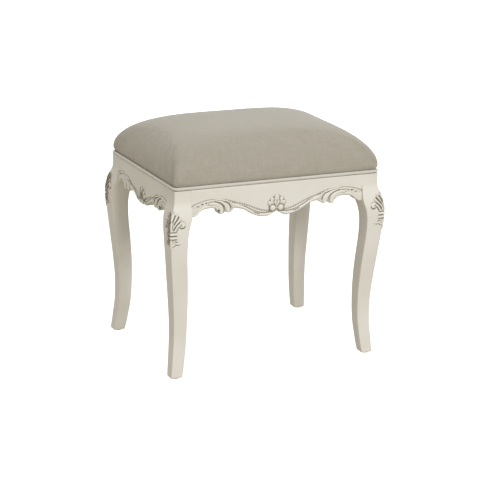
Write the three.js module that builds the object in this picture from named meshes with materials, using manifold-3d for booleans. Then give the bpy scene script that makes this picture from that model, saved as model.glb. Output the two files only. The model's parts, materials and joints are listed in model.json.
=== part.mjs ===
// A dressing stool in the French country style: four carved cabriole legs, scalloped rails
// and a domed, upholstered seat with a welt around its base.
// Millimetres. +Z is up, +X runs along the wide side and -Y is the front. The origin is on the
// floor, below the middle of the seat.
import * as THREE from "three";
import { mergeVertices } from "three/addons/utils/BufferGeometryUtils.js";
import Module from "manifold-3d";

// ---------- driving dimensions ----------
const GAP = 0.3; // left between two pieces that touch
const FRAME = { width: 468, depth: 351, top: 404 }; // over the outer faces of the rails
const BLOCK = 37; // width of the square block at the top of a leg
const BLOCK_BOTTOM = 346; // where the block ends and the free leg starts
const RAIL = { thickness: 22, relief: 2.5 };
const TENON = { length: 17, thickness: 9, low: 357, high: 394, setback: 6.5 };
const CORNER_BLOCK = { reach: 48, low: 368, high: 400 };
const SCREW = { shank: 2.1, head: 4.2, headHeight: 3, pilot: 2.5, counterbore: 5 };
const RAIL_SCREW = { along: 66, seat: 34, length: 26, z: 384 };
const SEAT_SCREW = { offset: 47, length: 46, headZ: 368.3 };
const GLIDE = { radius: 10, thickness: 2, stem: 3, stemLength: 14 };
const FOOT_BOTTOM = GLIDE.thickness + GAP;
const DUST_SHEET = { thickness: 0.6, inset: 10 };
const BOARD = { thickness: 12, inset: 6.1, corner: 10 };
const WELT = { radius: 3.8, overhang: 4.2, corner: 12 };
const PAD = { shoulder: 28, side: 26, crown: 43.5, sideInset: 0.7, footInset: 3, skin: 2, fullness: 3.8 };

const SHEET_LOW = FRAME.top + GAP;
const BOARD_LOW = SHEET_LOW + DUST_SHEET.thickness + GAP;
const BOARD_TOP = BOARD_LOW + BOARD.thickness;
const HALF = { x: FRAME.width / 2, y: FRAME.depth / 2 };

// Outward and inward faces of a leg at each height, measured out from the rail faces.
const LEG_PROFILE = [
  { z: FOOT_BOTTOM, outer: 3.0, inner: -22.0 },
  { z: 18, outer: 1.3, inner: -25.0 },
  { z: 38, outer: -0.5, inner: -27.9 },
  { z: 75, outer: -3.6, inner: -32.3 },
  { z: 122, outer: -3.8, inner: -34.1 },
  { z: 169, outer: -0.6, inner: -33.7 },
  { z: 216, outer: 3.9, inner: -31.2 },
  { z: 263, outer: 8.6, inner: -27.8 },
  { z: 301, outer: 11.9, inner: -27.4 },
  { z: 326, outer: 12.3, inner: -30.6 },
  { z: BLOCK_BOTTOM, outer: 9.4, inner: -BLOCK },
  { z: 362, outer: 5.0, inner: -BLOCK },
  { z: 374, outer: 1.2, inner: -BLOCK },
  { z: 382, outer: 0, inner: -BLOCK },
  { z: FRAME.top, outer: 0, inner: -BLOCK },
];
const LEG_CHAMFER = 1.6;
const FOOT_CENTRE = (LEG_PROFILE[0].outer + LEG_PROFILE[0].inner) / 2;

// Lower edge of each rail from its middle to its end: [distance along, height].
const LONG_RAIL_EDGE = [
  [[0, 342.6], [9, 337.6], [18, 333.8], [27, 332.9], [38, 334.2], [47, 336.6], [58, 341.6], [68, 347.3],
    [77, 352.4], [87, 355.3], [99, 357.2]],
  [[99, 357.2], [105.5, 351.8], [111, 348.8], [116, 350.4], [118.5, 353.2]],
  [[118.5, 353.2], [123, 349.4], [128, 347.2], [133, 348], [137, 356.2]],
  [[137, 356.2], [145.5, 360.8], [155, 361.9], [167, 360.8], [176, 356.8], [184, 349.6], [190, 346.6]],
];
const SHORT_RAIL_EDGE = [
  [[0, 336.6], [6, 335.4], [13, 335], [23, 335.9], [32, 340], [40, 345], [50, 348.8], [64, 349.8]],
  [[64, 349.8], [68, 346], [72, 344.8], [77, 345.6], [80, 348]],
  [[80, 348], [86, 345], [93, 344.2], [99, 345.6], [102, 353.4]],
  [[102, 353.4], [108, 358.2], [115, 359.6], [122, 357.8], [128, 352], [132, 348.4]],
];
// Upper edge of the carved band that follows the lower edge.
const LONG_BAND_TOP = [[0, 345], [19, 346.4], [47, 353.4], [75, 364.6], [103, 372], [127, 377.6],
  [152, 379], [174, 375.6], [190, 370]];
const SHORT_BAND_TOP = [[0, 343], [16, 343.6], [34, 350], [52, 361], [76, 370.6], [100, 374.8],
  [118, 372.6], [131, 367]];
// The carving on the long rails was set out by eye: where places on it really lie.
const LONG_DRIFT = [[-123, -123.5], [0, -3.5], [112, 105.5], [150, 147.5]];

// The five petals and two berries in the middle of a rail. A petal's length and width are halves.
const ROSETTE_BASE = { long: 352, short: 345 };
const BERRY = { radius: 6.8, proud: 5, apart: 9.4 };
const PETALS = [-52, -26, 0, 26, 52].map((degrees) => ({
  tilt: THREE.MathUtils.degToRad(degrees),
  length: degrees === 0 ? 14.5 : 13,
  width: degrees === 0 ? 5.6 : 4.8,
  proud: 4,
}));

const wasm = await Module();
wasm.setup();

// ---------- solids ----------
function toSolid(geometry) {
  const bare = new THREE.BufferGeometry();
  const source = geometry.index ? geometry.toNonIndexed() : geometry;
  bare.setAttribute("position", source.getAttribute("position"));
  const merged = mergeVertices(bare, 1e-4);
  return new wasm.Manifold(new wasm.Mesh({
    numProp: 3,
    vertProperties: merged.attributes.position.array,
    triVerts: new Uint32Array(merged.index.array),
  }));
}

function toGeometry(solid) {
  const mesh = solid.getMesh();
  const geometry = new THREE.BufferGeometry();
  geometry.setAttribute("position", new THREE.BufferAttribute(mesh.vertProperties, 3));
  geometry.setIndex(new THREE.BufferAttribute(mesh.triVerts, 1));
  const faceted = geometry.toNonIndexed();
  faceted.computeVertexNormals();
  return faceted;
}

const join = (...geometries) => toGeometry(geometries.map(toSolid).reduce((a, b) => a.add(b)));

function cut(geometry, ...tools) {
  return toGeometry(tools.map(toSolid).reduce((a, b) => a.subtract(b), toSolid(geometry)));
}

function box(low, high) {
  const size = high.map((value, i) => value - low[i]);
  const middle = high.map((value, i) => (value + low[i]) / 2);
  return new THREE.BoxGeometry(...size).translate(...middle);
}

// A cylinder from a start point along a direction.
function rod(radius, length, start, direction, sides = 10) {
  const turn = new THREE.Quaternion()
    .setFromUnitVectors(new THREE.Vector3(0, 1, 0), new THREE.Vector3(...direction));
  return new THREE.CylinderGeometry(radius, radius, length, sides)
    .translate(0, length / 2, 0)
    .applyQuaternion(turn)
    .translate(...start);
}

function ellipsoid(radii, segments = [8, 6]) {
  return new THREE.SphereGeometry(1, ...segments).scale(...radii);
}

// Closes a stack of rings of equal length, bottom to top and anticlockwise from above.
function loft(rings) {
  const count = rings[0].length;
  const positions = rings.flat().flatMap((p) => [p.x, p.y, p.z]);
  const index = [];
  for (let r = 0; r + 1 < rings.length; r++)
    for (let i = 0; i < count; i++) {
      const [a, b] = [r * count + i, r * count + ((i + 1) % count)];
      index.push(a, b, b + count, a, b + count, a + count);
    }
  const top = (rings.length - 1) * count;
  addCap(positions, index, rings[0], 0, true);
  addCap(positions, index, rings[rings.length - 1], top, false);
  return fromArrays(positions, index);
}

// A fan from the middle of a ring.
function addCap(positions, index, ring, first, facesDown) {
  const middle = ring.reduce((sum, p) => sum.add(p), new THREE.Vector3()).divideScalar(ring.length);
  const centre = positions.length / 3;
  positions.push(middle.x, middle.y, middle.z);
  ring.forEach((_, i) => {
    const [a, b] = [first + i, first + ((i + 1) % ring.length)];
    index.push(...(facesDown ? [b, a, centre] : [a, b, centre]));
  });
}

function fromArrays(positions, index) {
  const geometry = new THREE.BufferGeometry();
  geometry.setAttribute("position", new THREE.Float32BufferAttribute(positions, 3));
  geometry.setIndex(index);
  return geometry.toNonIndexed();
}

// A rounded rectangle as a ring of points.
function roundedRing(halfX, halfY, corner, z, perCorner = 4, perSide = 3) {
  const points = [];
  for (let quarter = 0; quarter < 4; quarter++) {
    const signX = quarter === 0 || quarter === 3 ? 1 : -1;
    const signY = quarter < 2 ? 1 : -1;
    for (let i = 0; i <= perCorner; i++) {
      const angle = (quarter + i / perCorner) * (Math.PI / 2);
      points.push(new THREE.Vector3(
        signX * (halfX - corner) + corner * Math.cos(angle),
        signY * (halfY - corner) + corner * Math.sin(angle), z));
    }
    const next = roundedCornerStart(halfX, halfY, corner, z, quarter + 1);
    const last = points[points.length - 1];
    for (let i = 1; i < perSide; i++) points.push(last.clone().lerp(next, i / perSide));
  }
  return points;
}

function roundedCornerStart(halfX, halfY, corner, z, quarter) {
  const signX = quarter % 4 === 0 || quarter % 4 === 3 ? 1 : -1;
  const signY = quarter % 4 < 2 ? 1 : -1;
  const angle = quarter * (Math.PI / 2);
  return new THREE.Vector3(
    signX * (halfX - corner) + corner * Math.cos(angle),
    signY * (halfY - corner) + corner * Math.sin(angle), z);
}

// ---------- the four corners ----------
// Corner shapes are drawn for the corner at +X +Y, with its rail faces at u = 0 and v = 0, and
// turned into place: a leg is the same on both of its outer faces.
const CORNERS = [
  { name: "rear_right", x: HALF.x, y: HALF.y, turn: 0 },
  { name: "rear_left", x: -HALF.x, y: HALF.y, turn: Math.PI / 2 },
  { name: "front_left", x: -HALF.x, y: -HALF.y, turn: Math.PI },
  { name: "front_right", x: HALF.x, y: -HALF.y, turn: -Math.PI / 2 },
];
// The same shape on the corner's other face.
const mirrored = ([u, v, z]) => [v, u, z];
const SWAP_UV = new THREE.Matrix4().set(0, 1, 0, 0, 1, 0, 0, 0, 0, 0, 1, 0, 0, 0, 0, 1);

function legRing({ z, outer, inner }) {
  const c = LEG_CHAMFER;
  return [[outer - c, inner], [outer, inner + c], [outer, outer - c], [outer - c, outer],
    [inner + c, outer], [inner, outer - c], [inner, inner + c], [inner + c, inner]]
    .map(([u, v]) => new THREE.Vector3(u, v, z));
}

function legBody() {
  const path = (key) => new THREE.SplineCurve(
    LEG_PROFILE.slice(0, 11).map((station) => new THREE.Vector2(station.z, station[key])));
  const steps = 16;
  const [outer, inner] = [path("outer"), path("inner")];
  const curved = [...Array(steps + 1).keys()].map((i) => ({
    z: outer.getPoint(i / steps).x,
    outer: outer.getPoint(i / steps).y,
    inner: inner.getPoint(i / steps).y,
  }));
  return loft([...curved, ...LEG_PROFILE.slice(11)].map(legRing));
}

// Where a rail's tenon goes into the leg, clear of the tenon by a gap.
function mortise(swap) {
  const low = [-BLOCK - 1, -TENON.setback - TENON.thickness - GAP, TENON.low - GAP];
  const high = [-BLOCK + TENON.length + GAP, -TENON.setback + GAP, TENON.high + GAP];
  return swap ? box(mirrored(low), mirrored(high)) : box(low, high);
}

// A fan of lobes on the knee, with a pair of bands under it, carved in the leg.
function kneeCarving() {
  const knee = 12.3;
  const lobes = [20, 48, 74].flatMap((degrees, i) => {
    const tilt = THREE.MathUtils.degToRad(degrees);
    const lobe = ellipsoid([2.6, 3.6, 12 - i])
      .translate(0, 0, 12 - i)
      .rotateX(tilt)
      .translate(knee - 2.6, knee - 4, 326);
    return [lobe, lobe.clone().applyMatrix4(SWAP_UV)];
  });
  const tip = ellipsoid([3.4, 3.4, 17]).translate(knee - 4.2, knee - 4.2, 346);
  const bands = [310, 318.5].map((z) => box([-4, -4, z - 2.2], [knee + 1.2, knee + 1.2, z + 2.2]));
  return [...lobes, tip, ...bands];
}

function legGeometry() {
  const glideHole = rod(GLIDE.stem + GAP, GLIDE.stemLength + GAP,
    [FOOT_CENTRE, FOOT_CENTRE, FOOT_BOTTOM - 1], [0, 0, 1]);
  const carved = join(legBody(), ...kneeCarving().map(outwards));
  return cut(carved, mortise(false), mortise(true), glideHole);
}

// Turns a geometry's faces round where a mirror has left them facing in.
function outwards(geometry) {
  if (signedVolume(geometry) > 0) return geometry;
  const flipped = geometry.index ? geometry.toNonIndexed() : geometry.clone();
  const { array } = flipped.attributes.position;
  for (let i = 0; i < array.length; i += 9)
    for (let k = 0; k < 3; k++)
      [array[i + 3 + k], array[i + 6 + k]] = [array[i + 6 + k], array[i + 3 + k]];
  return flipped;
}

function signedVolume(geometry) {
  const flat = geometry.index ? geometry.toNonIndexed() : geometry;
  const position = flat.attributes.position;
  const [a, b, c] = [new THREE.Vector3(), new THREE.Vector3(), new THREE.Vector3()];
  let sum = 0;
  for (let i = 0; i < position.count; i += 3) {
    a.fromBufferAttribute(position, i);
    b.fromBufferAttribute(position, i + 1);
    c.fromBufferAttribute(position, i + 2);
    sum += a.dot(b.cross(c));
  }
  return sum;
}

// ---------- rails ----------
// A rail is drawn lying along X with its outer face at y = 0, facing -Y.
function smooth(stretches, stepsPerPoint) {
  return stretches.flatMap((stretch) => new THREE.SplineCurve(
    stretch.map(([along, z]) => new THREE.Vector2(along, z)))
    .getPoints((stretch.length - 1) * stepsPerPoint).slice(1));
}

// The whole outline, end to end, from one half that starts in the middle.
function bothHalves(half) {
  const left = half.filter((p) => p.x > 0.01).reverse().map((p) => new THREE.Vector2(-p.x, p.y));
  return [...left, ...half];
}

function railOutline(edge, end) {
  const start = new THREE.Vector2(...edge[0][0]);
  const half = [start, ...smooth(edge, 1)];
  half.push(new THREE.Vector2(end, half[half.length - 1].y - 0.4));
  return bothHalves(half);
}

function bandOutline(edge, bandTop, end) {
  const lower = railOutline(edge, end);
  const half = [new THREE.Vector2(...bandTop[0]), ...smooth([bandTop], 1)];
  half.push(new THREE.Vector2(end, half[half.length - 1].y - 2));
  return [...lower, ...bothHalves(half).reverse()];
}

// Moves points along a rail to where they really lie, with its ends left in place.
function setOut(points, drift, end) {
  const knots = [[-end, -end], ...drift, [end, end]];
  return points.map((p) => {
    const next = Math.max(1, knots.findIndex(([place]) => place >= p.x));
    const [[a, toA], [b, toB]] = [knots[next - 1], knots[next]];
    return new THREE.Vector2(toA + (toB - toA) * ((p.x - a) / (b - a)), p.y);
  });
}

// Extrudes an outline in the XZ plane from one Y to a greater one.
function slab(outline, fromY, toY) {
  return new THREE.ExtrudeGeometry(new THREE.Shape(outline), { depth: toY - fromY, bevelEnabled: false })
    .rotateX(Math.PI / 2)
    .translate(0, toY, 0);
}

function rosette(middle, baseZ) {
  const petals = PETALS.map(({ tilt, length, width, proud }) => ellipsoid([width, proud, length])
    .translate(0, 0, length)
    .rotateY(tilt)
    .translate(middle, 0, baseZ));
  const berries = [-1, 1].map((side) => ellipsoid([BERRY.radius, BERRY.proud, BERRY.radius])
    .translate(middle + side * BERRY.apart, 0, baseZ - 2));
  return [...petals, ...berries];
}

function tenons(end) {
  return [-1, 1].map((side) => {
    const [from, to] = [side * (end - 2), side * (end + GAP + TENON.length)];
    return box([Math.min(from, to), TENON.setback, TENON.low],
      [Math.max(from, to), TENON.setback + TENON.thickness, TENON.high]);
  });
}

// Blind holes for the two screws that hold the corner blocks.
function railPilots(length) {
  return [-1, 1].map((side) => rod(SCREW.pilot, RAIL.thickness - 7,
    [side * (length / 2 - RAIL_SCREW.along), RAIL.thickness + 1, RAIL_SCREW.z], [0, -1, 0]));
}

function railGeometry(length, edge, bandTop, rosetteZ, drift) {
  const end = length / 2 - BLOCK - GAP;
  const top = [new THREE.Vector2(end, FRAME.top), new THREE.Vector2(-end, FRAME.top)];
  const plank = slab([...setOut(railOutline(edge, end), drift, end), ...top], 0, RAIL.thickness);
  const band = slab(setOut(bandOutline(edge, bandTop, end), drift, end), -RAIL.relief, 1);
  const [middle] = setOut([new THREE.Vector2(0, 0)], drift, end);
  const whole = join(plank, band, ...rosette(middle.x, rosetteZ), ...tenons(end));
  return cut(whole, ...railPilots(length));
}

// ---------- blocks, screws and glides ----------
function cornerBlockGeometry() {
  const [leg, rail, far] = [-BLOCK - GAP, -RAIL.thickness - GAP, -BLOCK - CORNER_BLOCK.reach];
  const outline = [[leg, rail], [far, rail], [rail, far], [rail, leg], [leg, leg]]
    .map((point) => new THREE.Vector2(...point));
  const block = new THREE.ExtrudeGeometry(new THREE.Shape(outline.reverse()),
    { depth: CORNER_BLOCK.high - CORNER_BLOCK.low, bevelEnabled: false }).translate(0, 0, CORNER_BLOCK.low);
  const railHoles = [false, true].flatMap((swap) => {
    const place = (v) => (swap ? mirrored : (p) => p)([-RAIL_SCREW.along, v, RAIL_SCREW.z]);
    const direction = swap ? [1, 0, 0] : [0, 1, 0];
    return [rod(SCREW.pilot, 60, place(-RAIL_SCREW.along), direction),
      rod(SCREW.counterbore, 40, place(-RAIL_SCREW.seat - 40), direction, 12)];
  });
  const seatHole = rod(SCREW.pilot, 60, [-SEAT_SCREW.offset, -SEAT_SCREW.offset, 360], [0, 0, 1]);
  const seatRecess = rod(SCREW.counterbore, 10,
    [-SEAT_SCREW.offset, -SEAT_SCREW.offset, SEAT_SCREW.headZ + SCREW.headHeight + GAP - 10],
    [0, 0, 1], 12);
  return cut(block, ...railHoles, seatHole, seatRecess);
}

// A wood screw pointing along +Y, its head's face at y = 0, with a cross recess.
function screwGeometry(length) {
  const profile = [[0, 0], [SCREW.head - 1, 0], [SCREW.head, 1], [SCREW.head, SCREW.headHeight],
    [SCREW.shank, SCREW.headHeight], [SCREW.shank, length - 5], [0, length]]
    .map((point) => new THREE.Vector2(...point));
  const body = new THREE.LatheGeometry(profile, 10);
  const arms = [0, Math.PI / 2].map((turn) => box([-2.2, -1, -0.4], [2.2, 1.4, 0.4]).rotateY(turn));
  return cut(body, ...arms);
}

function glideGeometry() {
  const { radius, thickness, stem, stemLength } = GLIDE;
  const profile = [[0, 0], [radius - 0.6, 0], [radius, 0.7], [radius, thickness], [stem, thickness],
    [stem, stemLength - 1], [stem - 1, stemLength], [0, stemLength]];
  return new THREE.LatheGeometry(profile.map((p) => new THREE.Vector2(...p)), 16).rotateX(Math.PI / 2);
}

// ---------- seat ----------
const seatScrewPlaces = CORNERS.map(({ x, y }) => [
  x - Math.sign(x) * SEAT_SCREW.offset, y - Math.sign(y) * SEAT_SCREW.offset]);

function plate(inset, corner, low, high, perCorner) {
  const ring = (z) => roundedRing(HALF.x - inset, HALF.y - inset, corner, z, perCorner, 1);
  return loft([ring(low), ring(high)]);
}

function boardGeometry() {
  const pilots = seatScrewPlaces.map(([x, y]) => rod(SCREW.pilot, 12, [x, y, BOARD_LOW - 2], [0, 0, 1]));
  return cut(plate(BOARD.inset, BOARD.corner, BOARD_LOW, BOARD_TOP, 4), ...pilots);
}

function dustSheetGeometry() {
  const holes = seatScrewPlaces.map(([x, y]) => rod(SCREW.pilot, 6, [x, y, SHEET_LOW - 3], [0, 0, 1]));
  const sheet = plate(DUST_SHEET.inset, 6, SHEET_LOW, SHEET_LOW + DUST_SHEET.thickness, 2);
  return cut(sheet, ...holes);
}

// How far the dome stands above its shoulder line at a place on the seat.
function crownAt(x, y, inset) {
  const fall = (value, half) => 1 - Math.abs(value / half) ** PAD.fullness;
  return PAD.crown * Math.max(0, fall(x, HALF.x - inset)) * Math.max(0, fall(y, HALF.y - inset));
}

// The pad's outer shape, or one that lies a distance inside it, from a height up.
function padRings(within, low, corner) {
  const inset = PAD.sideInset + within;
  const sideTop = BOARD_LOW + PAD.side;
  const radius = PAD.shoulder - within;
  const ring = (more, z, round) => roundedRing(HALF.x - inset - more, HALF.y - inset - more, round, z);
  const rings = [ring(PAD.footInset, low, corner)];
  if (low < BOARD_TOP)
    rings.push(ring(PAD.footInset, BOARD_LOW + 7, corner), ring(0, BOARD_LOW + 12, corner + 2));
  rings.push(ring(0, sideTop, corner + 6));
  [0.35, 0.7].forEach((share) => {
    const angle = share * (Math.PI / 2);
    rings.push(ring(radius * (1 - Math.cos(angle)), sideTop + radius * Math.sin(angle), corner + 8));
  });
  [1, 0.72, 0.4, 0.1].forEach((share) => {
    const flat = { x: (HALF.x - inset - radius) * share, y: (HALF.y - inset - radius) * share };
    rings.push(roundedRing(flat.x, flat.y, Math.min(corner + 10, flat.y) * 0.9, sideTop + radius));
  });
  rings.forEach((points) => points.forEach((p) => {
    if (p.z > sideTop) p.z += crownAt(p.x, p.y, inset) * ((p.z - sideTop) / radius);
  }));
  return rings;
}

function padSolid(within, low, corner) {
  return loft(padRings(within, low, corner));
}

function coverGeometry() {
  const hollow = padSolid(PAD.skin, BOARD_LOW - 5, 8);
  return cut(padSolid(0, BOARD_LOW, 10), hollow);
}

const foamGeometry = () => padSolid(PAD.skin + GAP, BOARD_TOP + GAP, 8);

// A round cord bent into a closed rounded rectangle.
function weltGeometry() {
  const middle = WELT.overhang - WELT.radius;
  const path = roundedRing(HALF.x + middle, HALF.y + middle, WELT.corner, 0, 5, 2);
  const sides = 8;
  const positions = [];
  const index = [];
  path.forEach((p, i) => {
    const [before, after] = [path.at(i - 1), path[(i + 1) % path.length]];
    const out = new THREE.Vector3(after.y - before.y, before.x - after.x, 0).normalize();
    for (let k = 0; k < sides; k++) {
      const angle = (k / sides) * 2 * Math.PI;
      const spot = p.clone().addScaledVector(out, WELT.radius * Math.cos(angle));
      positions.push(spot.x, spot.y, SHEET_LOW + WELT.radius + WELT.radius * Math.sin(angle));
      const [a, b] = [i * sides + k, i * sides + ((k + 1) % sides)];
      const [c, d] = [a, b].map((value) => (value + sides) % (path.length * sides));
      index.push(a, c, b, b, c, d);
    }
  });
  return outwards(fromArrays(positions, index));
}

// ---------- materials ----------
const finish = (color, roughness, metalness = 0) =>
  new THREE.MeshStandardMaterial({ color, roughness, metalness });
const painted = () => finish("#ddd9cc", 0.5);
const bareWood = () => finish("#b89468", 0.75);
const plywood = () => finish("#c9a878", 0.8);
const linen = () => finish("#b3aa99", 0.95);
const weltLinen = () => finish("#c3bcab", 0.95);
const foam = () => finish("#e6dfc4", 1);
const dustCloth = () => finish("#35332f", 1);
const steel = () => finish("#a9a596", 0.35, 1);
const nylon = () => finish("#d9d5cb", 0.6);

// ---------- assembly ----------
const stool = new THREE.Group();

function place(name, geometry, material, { x = 0, y = 0, z = 0, turn = 0 } = {}, parent = stool) {
  const mesh = new THREE.Mesh(geometry, material);
  mesh.name = name;
  mesh.position.set(x, y, z);
  mesh.rotation.z = turn;
  parent.add(mesh);
  return mesh;
}

function addCorners() {
  const shared = {
    leg: legGeometry(),
    block: cornerBlockGeometry(),
    railScrew: screwGeometry(RAIL_SCREW.length),
    seatScrew: screwGeometry(SEAT_SCREW.length).rotateX(Math.PI / 2),
    glide: glideGeometry(),
  };
  CORNERS.forEach(({ name, x, y, turn }) => {
    const corner = new THREE.Group();
    corner.position.set(x, y, 0);
    corner.rotation.z = turn;
    stool.add(corner);
    place(`leg_${name}`, shared.leg, painted(), {}, corner);
    place(`foot_glide_${name}`, shared.glide, nylon(), { x: FOOT_CENTRE, y: FOOT_CENTRE }, corner);
    place(`corner_block_${name}`, shared.block, bareWood(), {}, corner);
    addScrews(corner, name, shared);
  });
}

function addScrews(corner, name, { railScrew, seatScrew }) {
  const [along, seat] = [-RAIL_SCREW.along, -RAIL_SCREW.seat - SCREW.headHeight - GAP];
  place(`rail_screw_a_${name}`, railScrew, steel(), { x: along, y: seat, z: RAIL_SCREW.z }, corner);
  place(`rail_screw_b_${name}`, railScrew, steel(),
    { x: seat, y: along, z: RAIL_SCREW.z, turn: -Math.PI / 2 }, corner);
  const middle = -SEAT_SCREW.offset;
  place(`seat_screw_${name}`, seatScrew, steel(), { x: middle, y: middle, z: SEAT_SCREW.headZ }, corner);
}

function addRails() {
  const long = railGeometry(FRAME.width, LONG_RAIL_EDGE, LONG_BAND_TOP, ROSETTE_BASE.long, LONG_DRIFT);
  const short = railGeometry(FRAME.depth, SHORT_RAIL_EDGE, SHORT_BAND_TOP, ROSETTE_BASE.short, []);
  place("rail_front", long, painted(), { y: -HALF.y });
  place("rail_rear", long, painted(), { y: HALF.y, turn: Math.PI });
  place("rail_left", short, painted(), { x: -HALF.x, turn: -Math.PI / 2 });
  place("rail_right", short, painted(), { x: HALF.x, turn: Math.PI / 2 });
}

function addSeat() {
  place("dust_sheet", dustSheetGeometry(), dustCloth());
  place("seat_board", boardGeometry(), plywood());
  place("seat_foam", foamGeometry(), foam());
  place("seat_cover", coverGeometry(), linen());
  place("welt", weltGeometry(), weltLinen());
}

addCorners();
addRails();
addSeat();

export default stool;
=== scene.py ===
# A French country dressing stool. The legs and rails are carved and painted, the seat is stuffed and
# covered in linen, and the CAD pieces under it get their finishes. Shapes are worked out in
# millimetres and made in metres.
import json
import math

import bmesh
import bpy
import numpy as np
from mathutils import Matrix, Vector

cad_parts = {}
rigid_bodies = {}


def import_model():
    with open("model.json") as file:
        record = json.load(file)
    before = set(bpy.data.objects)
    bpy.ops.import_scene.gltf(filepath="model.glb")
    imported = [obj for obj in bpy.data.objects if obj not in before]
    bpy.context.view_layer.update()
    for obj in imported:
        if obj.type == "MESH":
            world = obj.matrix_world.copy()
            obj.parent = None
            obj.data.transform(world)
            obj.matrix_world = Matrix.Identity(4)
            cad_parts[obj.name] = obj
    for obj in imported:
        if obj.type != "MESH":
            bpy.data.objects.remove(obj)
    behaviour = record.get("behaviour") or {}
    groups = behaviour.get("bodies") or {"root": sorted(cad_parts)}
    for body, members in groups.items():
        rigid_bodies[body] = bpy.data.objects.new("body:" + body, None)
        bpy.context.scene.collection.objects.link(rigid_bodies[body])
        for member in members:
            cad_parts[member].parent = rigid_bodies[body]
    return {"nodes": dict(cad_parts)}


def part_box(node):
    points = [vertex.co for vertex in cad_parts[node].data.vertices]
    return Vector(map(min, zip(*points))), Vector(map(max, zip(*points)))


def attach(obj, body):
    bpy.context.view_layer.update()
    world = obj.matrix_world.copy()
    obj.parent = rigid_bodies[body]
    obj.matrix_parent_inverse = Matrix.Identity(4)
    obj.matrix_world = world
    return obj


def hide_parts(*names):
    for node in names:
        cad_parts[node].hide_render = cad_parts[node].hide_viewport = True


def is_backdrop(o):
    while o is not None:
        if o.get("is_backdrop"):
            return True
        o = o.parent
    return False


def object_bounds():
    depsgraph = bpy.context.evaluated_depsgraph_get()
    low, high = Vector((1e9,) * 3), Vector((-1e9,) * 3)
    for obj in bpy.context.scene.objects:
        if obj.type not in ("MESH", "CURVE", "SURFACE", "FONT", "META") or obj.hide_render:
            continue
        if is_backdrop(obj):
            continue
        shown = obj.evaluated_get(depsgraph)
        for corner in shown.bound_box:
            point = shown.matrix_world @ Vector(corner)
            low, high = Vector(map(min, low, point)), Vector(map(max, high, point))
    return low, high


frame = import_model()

cad_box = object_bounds()

# ---- sizes ----
MM = 0.001
SIDES = ("front", "right", "rear", "left")
CORNERS = {"front_left": 2, "front_right": 3, "rear_left": 1, "rear_right": 0}  # in quarter turns


def reach(node, corner, axis):
    """One coordinate of a CAD node's box in millimetres. Corner 0 is the lowest and 1 the highest."""
    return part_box(node)[corner][axis] / MM


GAP = 0.3  # between pieces that touch
CLOSE = 0.04  # between pieces that are glued
RAIL_THICKNESS = 22
# Half the frame's length and depth over its rails, and how far each kind of rail runs from its middle.
HALF = (RAIL_THICKNESS - reach("rail_left", 1, 0), RAIL_THICKNESS - reach("rail_front", 1, 1))
RAIL_END = (-reach("leg_front_left", 1, 0) - CLOSE, -reach("leg_front_left", 1, 1) - CLOSE)
FRAME_TOP = reach("leg_front_left", 1, 2)
FOOT = reach("leg_front_left", 0, 2)
BOARD_TOP = reach("seat_board", 1, 2)

# Heights along a leg with its outward and inward faces, measured out from the rail faces.
LEG_PROFILE = (
    (FOOT, 3, -22), (18, 1.3, -25), (38, -0.5, -27.9), (75, -3.6, -32.3), (122, -3.8, -34.1),
    (169, -0.6, -33.7), (216, 3.9, -31.2), (263, 8.6, -27.8), (301, 11.9, -27.4), (326, 12.3, -30.6),
    (346, 9.4, -36.6), (362, 5, -37), (374, 1.2, -37), (383, 0, -37), (FRAME_TOP, 0, -37),
)
ARRIS = 1.7  # rounding of a leg's edges
JOINT_EDGE = 0.3  # the same where a rail meets the leg

# Lower edge of a rail from its middle to its end: places along it and heights.
LONG_EDGE = (
    ((0, 342.6), (9, 337.6), (18, 333.8), (27, 332.9), (38, 334.2), (47, 336.6), (58, 341.6),
     (68, 347.3), (77, 352.4), (87, 355.3), (99, 357.2)),
    ((99, 357.2), (105.5, 351.8), (111, 348.8), (116, 350.4), (118.5, 353.2)),
    ((118.5, 353.2), (123, 349.4), (128, 347.2), (133, 348), (137, 356.2)),
    ((137, 356.2), (145.5, 360.8), (155, 361.9), (167, 360.8), (176, 356.8), (184, 349.6),
     (190, 346.6)),
)
SHORT_EDGE = (
    ((0, 336.6), (6, 335.4), (13, 335), (23, 335.9), (32, 340), (40, 345), (50, 348.8), (64, 349.8)),
    ((64, 349.8), (68, 346), (72, 344.8), (77, 345.6), (80, 348)),
    ((80, 348), (86, 345), (93, 344.2), (99, 345.6), (102, 353.4)),
    ((102, 353.4), (108, 358.2), (115, 359.6), (122, 357.8), (128, 352), (132, 348.4)),
)
# The carving on the long rails was set out by eye: where places on it really lie.
LONG_DRIFT = ((-123, -123.5), (0, -3.5), (112, 105.5), (150, 147.5))
# The short rail has the long rail's carving, closed up: places on the long one, where they come on
# the short one, and how far they drop.
LONG_PLACES = (0, 27, 58, 99, 111, 118.5, 128, 137, 155, 176, 190, 197)
SHORT_PLACES = (0, 13, 31, 64, 72, 80, 93, 102, 115, 125, 132, 139)
SHORT_DROP = (6, -2.1, 2.1, 7.4, 4, 5.2, 3, 2.8, 2.3, 2, -1.8, -1.8)


# ---- lines ----
def unit(values):
    return np.clip(values, 0, 1)


def ramp(values, start, stop):
    """From 0 at the start to 1 at the stop, and level beyond them."""
    return unit((values - start) / (stop - start))


def smooth_line(points, steps=7):
    """A smooth line through some points."""
    p = np.array(points, float)
    p = np.vstack([2 * p[0] - p[1], p, 2 * p[-1] - p[-2]])
    t = np.arange(steps)[:, None] / steps
    parts = []
    for a, b, c, d in zip(p, p[1:], p[2:], p[3:]):
        bend = (2 * a - 5 * b + 4 * c - d) * t**2 + (3 * b - a - 3 * c + d) * t**3
        parts.append(0.5 * (2 * b + (c - a) * t + bend))
    return np.vstack([*parts, p[-2:-1]])


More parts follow.
